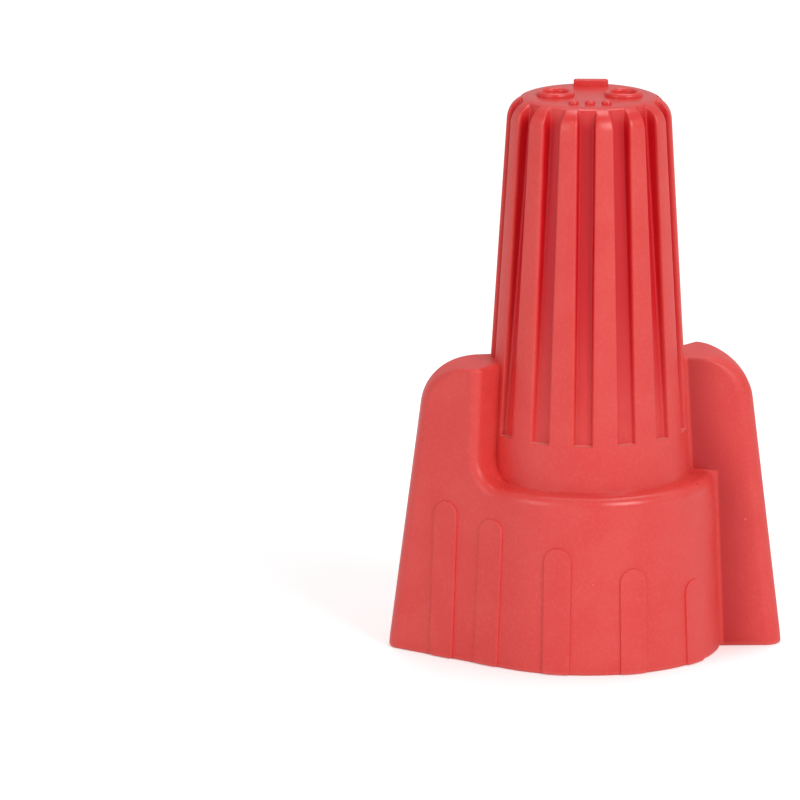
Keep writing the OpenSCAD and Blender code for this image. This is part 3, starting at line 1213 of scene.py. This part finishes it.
@dataclass
class SquareWireSpring:
    """Square wire wound edge-on: flared and free at the throat, seated against the tip's wall.

    Attributes:
        side: Side of the wire's square section.
        corner_r: Radius of its corners.
        start_z: Height of the first coil's start.
        seat_gap: Gap between the seated coils and the chamber.
        live_gap: What the free coils add to that gap.
        flare: What the first coil takes off it again.
        flare_turns: Turns over which the flare ends.
        seated_turns: Turns that are seated, at the tip.
        steps: Steps in a turn.
    """

    frame: ShellFrame
    side: float = 0.75
    corner_r: float = 0.07
    pitch: float = 1.2
    start_z: float = 12.9
    seat_gap: float = 0.05
    live_gap: float = 0.45
    flare: float = 0.3
    flare_turns: float = 0.75
    seated_turns: float = 2.5
    steps: int = 60

    def surface(self) -> Surface:
        """A rounded square carried along a helix.

        The helix climbs evenly. Its radius keeps a gap to the chamber that opens over the free
        coils and closes over the seated ones. The square stands on a corner.

        Returns:
            The closed wire.
        """
        half = self.side * math.sqrt(2) / 2
        top = self.frame.overall_h - self.frame.tip_wall - half - self.seat_gap
        turns = (top - self.start_z) / self.pitch
        corners = np.array([[-half, 0], [0, -half], [half, 0], [0, half]])
        section = rounded_path(corners, np.full(4, self.corner_r), 4, True)
        t = np.linspace(0, turns, int(turns * self.steps))[:, None]
        free = np.clip(turns - self.seated_turns - t, 0, 1)
        flared = np.clip(1 - t / self.flare_turns, 0, 1)
        gap = self.seat_gap + (self.live_gap - self.flare * flared) * free
        z = self.start_z + t * self.pitch
        centre = self.frame.chamber_radius(z + half) - half - gap
        r = centre + section[None, :, 0]
        grid = np.stack(
            [r * np.cos(TURN * t), r * np.sin(TURN * t), z + section[None, :, 1]], axis=-1
        )
        return capped_grid(grid, grid[0].mean(0), grid[-1].mean(0))


# --- Finishes ---------------------------------------------------------------------------------

Socket = bpy.types.NodeSocket


class NodeSheet:
    """Adds nodes to a tree: each method places one node and returns its output socket."""

    def __init__(self, tree: bpy.types.NodeTree) -> None:
        """Keeps the tree that nodes are added to."""
        self.tree = tree

    def node(
        self, kind: str, inputs: dict[str | int, object], **settings: object
    ) -> bpy.types.Node:
        """Places a node.

        Args:
            kind: Blender's name of the node type.
            inputs: Sockets or values by input name or number.
            **settings: Attributes of the node.

        Returns:
            The node.
        """
        made = self.tree.nodes.new(kind)
        for name, value in settings.items():
            setattr(made, name, value)
        for name, value in inputs.items():
            if isinstance(value, bpy.types.NodeSocket):
                self.tree.links.new(value, made.inputs[name])
            else:
                made.inputs[name].default_value = value
        return made

    def maths(self, how: str, a: Socket | float, b: Socket | float = 0.0) -> Socket:
        """One Math node of the named operation."""
        return self.node("ShaderNodeMath", {0: a, 1: b}, operation=how).outputs[0]

    def less(self, a: Socket | float, b: Socket | float) -> Socket:
        """The first value less the second."""
        return self.maths("SUBTRACT", a, b)

    def times(self, first: Socket | float, *others: Socket | float) -> Socket:
        """The product of all values."""
        return functools.reduce(lambda a, b: self.maths("MULTIPLY", a, b), others, first)

    def largest(self, first: Socket | float, *others: Socket | float) -> Socket:
        """The largest of all values."""
        return functools.reduce(lambda a, b: self.maths("MAXIMUM", a, b), others, first)

    def ramp(
        self, value: Socket, low: float, high: float, a: float = 0.0, b: float = 1.0
    ) -> Socket:
        """Maps a value smoothly from one range to another, and keeps it there beyond its ends.

        Args:
            value: The value.
            low: Start of its range.
            high: End of its range.
            a: Result at the start.
            b: Result at the end.

        Returns:
            The mapped value.
        """
        made = self.node(
            "ShaderNodeMapRange", {0: value, 1: low, 2: high, 3: a, 4: b},
            interpolation_type="SMOOTHSTEP",
        )
        return made.outputs[0]

    def fall(self, value: Socket, low: float, high: float) -> Socket:
        """Falls smoothly from 1 to 0 as a value goes from low to high."""
        return self.ramp(value, low, high, 1.0, 0.0)

    def mix(self, share: Socket | float, a: Socket | Colour, b: Socket | Colour) -> Socket:
        """Mixes two colours.

        Args:
            share: Share of the second.
            a: The first colour.
            b: The second colour.

        Returns:
            The mixed colour.
        """
        made = self.tree.nodes.new("ShaderNodeMix")
        made.data_type = "RGBA"
        for index, value in ((0, share), (6, a), (7, b)):
            if isinstance(value, bpy.types.NodeSocket):
                self.tree.links.new(value, made.inputs[index])
            else:
                made.inputs[index].default_value = value
        return made.outputs[2]

    def place(self) -> Socket:
        """The piece's own coordinates, in metres."""
        return self.node("ShaderNodeTexCoord", {}).outputs["Object"]


def new_group(name: str, inputs: dict[str, float], outputs: Sequence[str]) -> NodeSheet:
    """Makes an empty shader node group with float sockets.

    Args:
        name: Name of the group.
        inputs: Names and default values of its inputs.
        outputs: Names of its outputs.

    Returns:
        A sheet for the group's nodes, with its input and output nodes placed.
    """
    tree = bpy.data.node_groups.new(name, "ShaderNodeTree")
    for title, value in inputs.items():
        made = tree.interface.new_socket(title, in_out="INPUT", socket_type="NodeSocketFloat")
        made.default_value = value
    for title in outputs:
        tree.interface.new_socket(title, in_out="OUTPUT", socket_type="NodeSocketFloat")
    tree.nodes.new("NodeGroupInput").name = "in"
    tree.nodes.new("NodeGroupOutput").name = "out"
    return NodeSheet(tree)


def grain_group() -> bpy.types.NodeTree:
    """Fine surface grain: two noises of the piece's own coordinates, and rare pale specks.

    Returns:
        The group, with inputs Fine and Broad (cells per metre) and Specks (threshold).
    """
    sheet = new_group("SurfaceGrain", {"Fine": 6000, "Broad": 500, "Specks": 0.8},
                      ["Height", "Cloud", "Speck"])
    tree = sheet.tree
    given, out = tree.nodes["in"].outputs, tree.nodes["out"].inputs
    at, speck_scale, speck_edge = sheet.place(), 1900.0, 0.03

    def noise(scale: Socket | float, detail: float) -> Socket:
        """A 3-D noise of the piece's own coordinates."""
        made = sheet.node("ShaderNodeTexNoise", {"Vector": at, "Scale": scale, "Detail": detail})
        return made.outputs["Fac"]

    speck = sheet.less(noise(speck_scale, 1.0), given["Specks"])
    tree.links.new(noise(given["Fine"], 3.0), out["Height"])
    tree.links.new(noise(given["Broad"], 2.0), out["Cloud"])
    tree.links.new(sheet.ramp(speck, 0.0, speck_edge), out["Speck"])
    return tree


class Zone(Enum):
    """Regions of the shell that differ in colour or polish, or carry painted shade or a painted
    highlight.
    """

    DEEP = "Deep"
    INSIDE = "Inside"
    RIM = "Rim"
    LEDGE = "Ledge"
    SHELF = "Shelf"
    TIP = "Tip"
    # Painted shade beside the wings' rear faces.
    CORNER_SHADE = "Nook"


class ShellZones:
    """Masks for the shell's regions, worked out from the distance to its axis and the height.

    Each method makes one mask from smooth ramps in millimetres.
    """

    def __init__(self, shell: ShellFrame) -> None:
        """Starts the group and works out the places that the masks share.

        Args:
            shell: Sizes of the shell.
        """
        self.shell = shell
        self.sheet = sheet = new_group("ShellZones", {}, [zone.value for zone in Zone])
        split = sheet.node("ShaderNodeSeparateXYZ", {0: sheet.place()}).outputs
        self.x, self.y = split[0], split[1]
        flat = sheet.node("ShaderNodeCombineXYZ", {0: self.x, 1: self.y, 2: 0.0}).outputs[0]
        measured = sheet.node("ShaderNodeVectorMath", {0: flat}, operation="LENGTH")
        self.length = measured.outputs["Value"]
        self.r = sheet.maths("DIVIDE", self.length, MM)
        self.z = sheet.maths("DIVIDE", split[2], MM)
        above = sheet.less(self.z, shell.barrel_foot_z)
        self.barrel = sheet.less(shell.barrel_foot_r, sheet.times(above, shell.barrel_slope))
        self.skirt = sheet.less(shell.skirt_r, sheet.times(self.z, shell.skirt_slope))
        self.depth = sheet.less(self.barrel, self.r)

    def flute_shade(self) -> Socket:
        """The flutes, for their gloss and their painted shade: under the barrel's surface, stronger
        towards the tip and less on its edge.
        """
        s, start, top = self.sheet, self.shell.flute_start, self.shell.overall_h
        return s.times(
            s.ramp(self.depth, 0.1, 0.3),
            s.ramp(self.z, start, start + 0.03),
            s.ramp(self.z, top - 1.3, top - 0.1, 1.0, 0.25),
            s.ramp(self.z, start - 2.0, start + 10.0, 0.15, 1.0),
        )

    def inside(self) -> Socket:
        """The hollow, for its gloss and its painted shade: well under the skirt's surface, or
        higher up well under the barrel's.

        Returns:
            The mask.
        """
        s, top = self.sheet, self.shell.overall_h
        low = s.times(s.ramp(s.less(self.skirt, self.r), 0.9, 1.15), s.fall(self.z, 9.55, 9.9))
        high = s.times(
            s.ramp(self.depth, 0.95, 1.1),
            s.ramp(self.z, 9.6, 9.9),
            s.fall(self.z, top - 1.9, top - 1.7),
        )
        return s.times(s.largest(low, high), s.ramp(self.z, 0.02, 0.2))

    def rim(self) -> Socket:
        """The rim's edge."""
        return self.sheet.fall(self.z, 0.05, 0.3)

    def ledge(self) -> Socket:
        """The line of the ledge where the flutes start, which gets a painted highlight.

        Returns:
            The mask.
        """
        s = self.sheet
        near = s.maths("ABSOLUTE", s.less(self.z, self.shell.flute_start))
        across = s.times(s.ramp(self.depth, 0.01, 0.05), s.fall(self.depth, 0.45, 0.6))
        return s.times(s.fall(near, 0.02, 0.06), across)

    def shelf(self) -> Socket:
        """The polished shoulder: a band of heights within the skirt's radius.

        Returns:
            The mask.
        """
        s, reach = self.sheet, self.shell.skirt_r
        near = s.maths("ABSOLUTE", s.less(self.z, self.shell.skirt_h - 0.1))
        return s.times(s.fall(near, 0.3, 0.75), s.fall(self.r, reach - 0.4, reach - 0.2))

    def tip(self) -> Socket:
        """The rounded tip."""
        top = self.shell.overall_h
        return self.sheet.ramp(self.z, top - 1.5, top - 0.9)

    def corner_shade(self) -> Socket:
        """Painted shade where a wing's rear face meets the skirt or the barrel.

        The distance is taken from the skirt below the shoulder and from the barrel above it. One
        measure changes over at once and starts the mask, and the other changes over slowly and
        ends it. The rear faces lie where x times y is negative, to the sides of the part.

        Returns:
            The mask.
        """
        s, shoulder = self.sheet, self.shell.skirt_h
        wider = s.less(self.skirt, self.barrel)
        at_once = s.times(wider, s.fall(self.z, shoulder + 0.03, shoulder + 0.2))
        slowly = s.times(wider, s.fall(self.z, shoulder - 2.0, shoulder + 4.5))
        beyond = s.less(self.r, s.maths("ADD", self.barrel, at_once))
        away = s.less(self.r, s.maths("ADD", self.barrel, slowly))
        behind = s.maths("DIVIDE", s.times(self.x, self.y), s.times(self.length, -MM))
        side = s.maths("ABSOLUTE", s.maths("DIVIDE", self.x, MM))
        face = s.times(s.ramp(behind, 0.1, 0.45), s.fall(behind, 1.0, 1.5), s.ramp(side, 4.5, 5.5))
        return s.times(s.ramp(beyond, 0.12, 0.3), face, s.fall(away, 0.0, 2.9))

    def group(self) -> bpy.types.NodeTree:
        """Builds every mask and links it to its output.

        Returns:
            The group.
        """
        masks = {
            Zone.DEEP: self.flute_shade(),
            Zone.INSIDE: self.inside(),
            Zone.RIM: self.rim(),
            Zone.LEDGE: self.ledge(),
            Zone.SHELF: self.shelf(),
            Zone.TIP: self.tip(),
            Zone.CORNER_SHADE: self.corner_shade(),
        }
        tree = self.sheet.tree
        for zone, mask in masks.items():
            tree.links.new(mask, tree.nodes["out"].inputs[zone.value])
        return tree


def new_material(name: str) -> tuple[bpy.types.Material, NodeSheet, bpy.types.Node]:
    """Makes a material with one Principled shader.

    Args:
        name: Name of the material.

    Returns:
        The material, a sheet for its nodes, and the shader.
    """
    made = bpy.data.materials.new(name)
    made.use_nodes = True
    return made, NodeSheet(made.node_tree), made.node_tree.nodes["Principled BSDF"]


@dataclass(frozen=True)
class MouldedRed:
    """Satin red polypropylene with a fine spark-eroded grain, glossier in the flutes; painted shade
    darkens the flutes, the hollow and the wings' rear corners, and a painted highlight lines the
    flutes' ledge.
    """

    base: Colour = (0.74, 0.054, 0.048, 1.0)
    # Painted shade in the flutes, stronger where they are deeper.
    flute_shade: Colour = (0.64, 0.005, 0.012, 1.0)
    # Painted highlight on the ledge where the flutes start; also the colour of the grain's pale
    # specks.
    ledge: Colour = (0.86, 0.30, 0.26, 1.0)
    # Painted shade in the hollow.
    inner: Colour = (0.50, 0.012, 0.018, 1.0)
    pale: Colour = (0.84, 0.14, 0.12, 1.0)
    # Painted shade beside the wings' rear faces, darkest in the corner.
    corner_shade: Colour = (0.47, 0.006, 0.011, 1.0)
    cloud: float = 0.16
    fleck: float = 0.14
    speck: float = 0.5
    rough: tuple[float, float] = (0.44, 0.52)
    polish: float = 0.19
    grain_strength: float = 0.35
    grain_depth: float = 0.04 * MM

    def tints(self) -> list[tuple[Zone, float, Colour]]:
        """The zones' tints in the order that they are laid: zone, strength and colour. The corner,
        flute and hollow tints are painted shade, the ledge's is a painted highlight.
        """
        return [
            (Zone.CORNER_SHADE, 0.8, self.corner_shade),
            (Zone.DEEP, 1.0, self.flute_shade),
            (Zone.INSIDE, 1.0, self.inner),
            (Zone.LEDGE, 0.6, self.ledge),
            (Zone.RIM, 0.45, self.pale),
        ]

    def glosses(self) -> dict[Zone, float]:
        """How polished each smooth zone is."""
        return {Zone.DEEP: 0.4, Zone.INSIDE: 1.0, Zone.SHELF: 0.9, Zone.TIP: 0.9, Zone.CORNER_SHADE: 0.5}

    def material(self, shell: ShellFrame, grain: bpy.types.NodeTree) -> bpy.types.Material:
        """Builds the material.

        Args:
            shell: Sizes of the shell.
            grain: The shared grain group.

        Returns:
            The material.
        """
        made, sheet, shader = new_material("moulded_red")
        zones = sheet.node("ShaderNodeGroup", {}, node_tree=ShellZones(shell).group()).outputs
        skin = sheet.node("ShaderNodeGroup", {"Fine": 5200.0, "Broad": 420.0, "Specks": 0.80},
                          node_tree=grain).outputs
        cloud = sheet.ramp(skin["Cloud"], 0.3, 0.7, 0.0, self.cloud)
        fleck = sheet.ramp(skin["Height"], 0.48, 0.68, 0.0, self.fleck)
        colour = sheet.mix(sheet.maths("ADD", cloud, fleck), self.base, self.pale)
        for zone, strength, tint in self.tints():
            colour = sheet.mix(sheet.times(zones[zone.value], strength), colour, tint)
        # Pale specks of the grain, in the same colour as the ledge's painted highlight.
        colour = sheet.mix(sheet.times(skin["Speck"], self.speck), colour, self.ledge)
        sheet.tree.links.new(colour, shader.inputs["Base Color"])
        gloss = sheet.largest(*(
            sheet.times(zones[zone.value], share) for zone, share in self.glosses().items()
        ))
        rough = sheet.ramp(skin["Cloud"], 0.3, 0.7, *self.rough)
        rough = sheet.less(rough, sheet.times(gloss, self.polish))
        sheet.tree.links.new(rough, shader.inputs["Roughness"])
        matt = sheet.less(1.0, sheet.largest(gloss, zones[Zone.DEEP.value]))
        bump = sheet.node("ShaderNodeBump", {
            "Height": sheet.times(sheet.less(skin["Height"], 0.5), matt),
            "Strength": self.grain_strength, "Distance": self.grain_depth,
        })
        sheet.tree.links.new(bump.outputs[0], shader.inputs["Normal"])
        shader.inputs["IOR"].default_value = 1.49
        shader.inputs["Subsurface Weight"].default_value = 0.12
        shader.inputs["Subsurface Radius"].default_value = (1.0, 0.25, 0.15)
        shader.inputs["Subsurface Scale"].default_value = 0.8 * MM
        return made


@dataclass(frozen=True)
class BrightZinc:
    """Bright zinc-plated steel wire with fine drawing marks."""

    base: Colour = (0.78, 0.78, 0.80, 1.0)
    dull: Colour = (0.52, 0.53, 0.56, 1.0)
    rough: tuple[float, float] = (0.2, 0.34)
    grain_strength: float = 0.25
    grain_depth: float = 0.01 * MM

    def material(self, grain: bpy.types.NodeTree) -> bpy.types.Material:
        """Builds the material.

        Args:
            grain: The shared grain group.

        Returns:
            The material.
        """
        made, sheet, shader = new_material("bright_zinc")
        skin = sheet.node("ShaderNodeGroup", {"Fine": 9000.0, "Broad": 1500.0, "Specks": 0.85},
                          node_tree=grain).outputs
        colour = sheet.mix(sheet.ramp(skin["Cloud"], 0.35, 0.7), self.base, self.dull)
        sheet.tree.links.new(colour, shader.inputs["Base Color"])
        rough = sheet.ramp(skin["Cloud"], 0.3, 0.7, *self.rough)
        sheet.tree.links.new(rough, shader.inputs["Roughness"])
        bump = sheet.node("ShaderNodeBump", {
            "Height": skin["Height"],
            "Strength": self.grain_strength, "Distance": self.grain_depth,
        })
        sheet.tree.links.new(bump.outputs[0], shader.inputs["Normal"])
        shader.inputs["Metallic"].default_value = 1.0
        return made


# --- The connector ----------------------------------------------------------------------------


@dataclass
class Connector:
    """The whole connector: a one-piece moulded shell and the spring inside it."""

    frame: ShellFrame
    sharp_angle: float = math.radians(38)

    def dress(self, obj: bpy.types.Object, slot: Slot, material: bpy.types.Material) -> None:
        """Gives a piece its material, hangs it under the root and hides the CAD node that it stands
        for.

        Args:
            obj: The piece.
            slot: Its slot, which has its CAD node's name.
            material: Its material.
        """
        obj.data.materials.clear()
        obj.data.materials.append(material)
        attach(obj, "root")
        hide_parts(slot.value)

    def shell(self, material: bpy.types.Material) -> bpy.types.Object:
        """Joins the shell's solids, cuts its hollow and dresses it.

        Args:
            material: Its material.

        Returns:
            The finished shell.
        """
        body = solid("moulded_shell", WingedSkirt(self.frame).surface())
        added = [FlutedBarrel(self.frame).surface(), *SkirtPads(self.frame).surfaces(),
                 *TipMarks(self.frame).surfaces()]
        combine(body, [solid("added", s) for s in added], Join.UNION)
        combine(body, [solid("hollow", Cavity(self.frame).surface())], Join.CUT)
        finish_mesh(body, self.sharp_angle)
        self.dress(body, Slot.SHELL, material)
        return body

    def spring(self, material: bpy.types.Material) -> bpy.types.Object:
        """Winds the spring and dresses it.

        Args:
            material: Its material.

        Returns:
            The finished spring.
        """
        wire = solid("square_wire_spring", SquareWireSpring(self.frame).surface())
        finish_mesh(wire, self.sharp_angle)
        self.dress(wire, Slot.SPRING, material)
        return wire


# --- Stage ------------------------------------------------------------------------------------


@dataclass(frozen=True)
class Lamp:
    """A square soft lamp: its place and its side in metres, and its power in watts."""

    name: str
    place: Place
    side: float
    watts: float


@dataclass
class Studio:
    """Pale floor, soft lamps, white surroundings and the camera."""

    distance: float = 650 * MM
    view_width: float = 46.2 * MM
    sensor_width: float = 36.0
    elevation: float = math.radians(13)
    roll: float = math.radians(0.25)
    aim: Place = (-10.8 * MM, 0.0, 14.4 * MM)
    lamp_aim: Place = (0, 0, 15 * MM)
    lamps: tuple[Lamp, ...] = (
        Lamp("key", (0.40, -0.52, 0.42), 0.34, 2.8),
        Lamp("fill", (-0.55, -0.50, 0.30), 0.40, 1.3),
        Lamp("top", (0.05, 0.20, 0.70), 0.40, 1.8),
    )
    floor_half: float = 1.5
    floor_z: float = -0.01 * MM
    floor_colour: Colour = (0.93, 0.93, 0.93, 1)
    floor_glow: float = 0.3
    soft_light: float = 0.36
    glossy_light: float = 0.5

    def floor(self) -> None:
        """Lays a pale floor that shows white to the camera where it is fully lit."""
        half, low = self.floor_half, self.floor_z
        mesh = bpy.data.meshes.new("floor")
        mesh.from_pydata(
            [(-half, -half, low), (half, -half, low), (half, half, low), (-half, half, low)],
            [], [(0, 1, 2, 3)],
        )
        obj = bpy.data.objects.new("floor", mesh)
        bpy.context.scene.collection.objects.link(obj)
        made, sheet, shader = new_material("pale_floor")
        shader.inputs["Base Color"].default_value = self.floor_colour
        shader.inputs["Roughness"].default_value = 0.9
        shader.inputs["Specular IOR Level"].default_value = 0.0
        shader.inputs["Emission Color"].default_value = (1, 1, 1, 1)
        path = sheet.node("ShaderNodeLightPath", {}).outputs
        glow = sheet.times(path["Is Camera Ray"], self.floor_glow)
        sheet.tree.links.new(glow, shader.inputs["Emission Strength"])
        mesh.materials.append(made)

    def world(self) -> None:
        """Shows white to the camera and through clear surfaces, and lights the part softly."""
        world = bpy.data.worlds.new("surroundings")
        bpy.context.scene.world = world
        world.use_nodes = True
        sheet = NodeSheet(world.node_tree)
        background = world.node_tree.nodes["Background"]
        background.inputs["Color"].default_value = (1, 1, 1, 1)
        path = sheet.node("ShaderNodeLightPath", {}).outputs
        glossy = sheet.times(path["Is Glossy Ray"], self.glossy_light)
        strength = sheet.largest(
            path["Is Camera Ray"], path["Is Transmission Ray"], glossy, self.soft_light
        )
        sheet.tree.links.new(strength, background.inputs["Strength"])

    def hang(self, lamp: Lamp) -> None:
        """Hangs a lamp that faces the part's middle.

        Args:
            lamp: The lamp.
        """
        data = bpy.data.lights.new(lamp.name, "AREA")
        data.size, data.energy = lamp.side, lamp.watts
        obj = bpy.data.objects.new(lamp.name, data)
        obj.location = lamp.place
        toward = Vector(self.lamp_aim) - obj.location
        obj.rotation_euler = toward.to_track_quat("-Z", "Y").to_euler()
        bpy.context.scene.collection.objects.link(obj)

    def camera(self) -> None:
        """Sets a long lens in front of the part, a little above it and aimed to its left."""
        data = bpy.data.cameras.new("camera")
        data.sensor_width = self.sensor_width
        data.lens = data.sensor_width * self.distance / self.view_width
        data.clip_start, data.clip_end = 0.01, 10.0
        obj = bpy.data.objects.new("camera", data)
        back = Vector((0, -math.cos(self.elevation), math.sin(self.elevation)))
        obj.location = Vector(self.aim) + back * self.distance
        look = (-back).to_track_quat("-Z", "Y")
        obj.rotation_euler = (look @ Euler((0, 0, self.roll)).to_quaternion()).to_euler()
        bpy.context.scene.collection.objects.link(obj)
        bpy.context.scene.camera = obj

    def build(self) -> None:
        """Sets the stage."""
        self.floor()
        self.world()
        for lamp in self.lamps:
            self.hang(lamp)
        self.camera()
        bpy.context.scene.view_settings.view_transform = "Standard"


def main() -> None:
    """Builds the connector and its stage, and reports each piece."""
    logging.basicConfig(level=logging.INFO, format="%(name)s: %(message)s")
    shell_frame = ShellFrame.from_cad()
    grain = grain_group()
    connector = Connector(shell_frame)
    pieces = [
        connector.shell(MouldedRed().material(shell_frame, grain)),
        connector.spring(BrightZinc().material(grain)),
    ]
    for piece in pieces:
        LOG.info("%s: %d faces, %s", piece.name, len(piece.data.polygons),
                 piece.data.materials[0].name)
    Studio().build()


if __name__ == "__main__":
    main()
